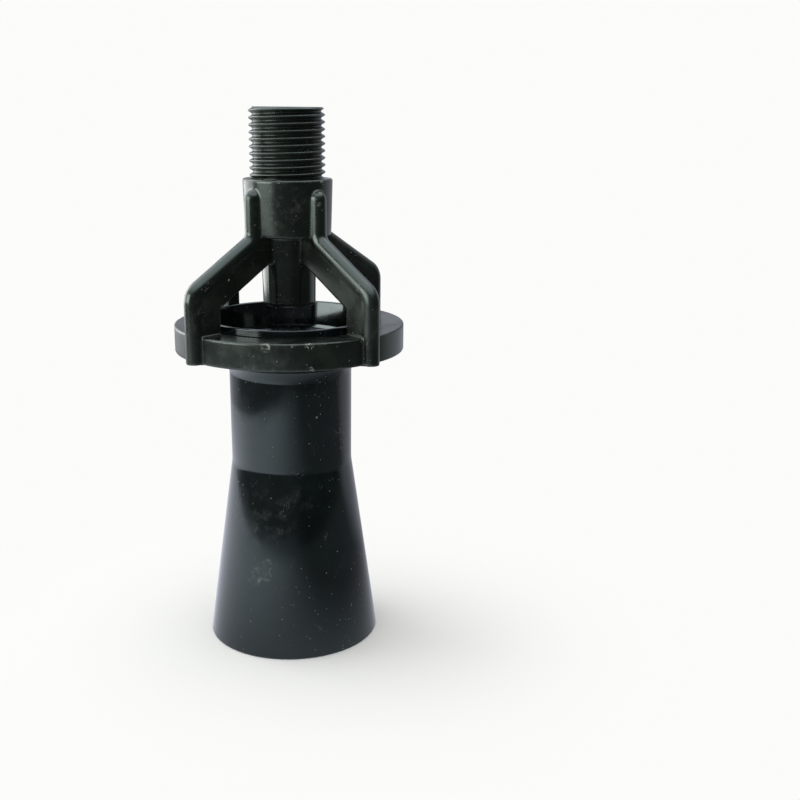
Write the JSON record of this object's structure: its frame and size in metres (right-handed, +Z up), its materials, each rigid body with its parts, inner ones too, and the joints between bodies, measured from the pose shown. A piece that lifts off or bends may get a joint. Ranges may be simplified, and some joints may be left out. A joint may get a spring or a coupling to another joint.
{
  "type": "jet eductor",
  "caption": "Moulded plastic jet eductor: a threaded inlet and nozzle carried by arms on a ring above a bowl, throat and flared diffuser, for mixing liquid in a tank.",
  "frame": {"origin": "middle of the diffuser's flat mouth rim, which it stands on", "axes": "+Z up the jet's axis from the mouth to the threaded inlet; the arms lie between X and Y"},
  "size_m": [0.0646, 0.0646, 0.1522],
  "materials": {
    "cage_plastic": "satin moulded black polypropylene, faintly green",
    "diffuser_plastic": "glossy moulded black polypropylene, faintly blue"
  },
  "bodies": {
    "root": {"nozzle_body": "cage_plastic", "diffuser": "diffuser_plastic"}
  },
  "joints": []
}
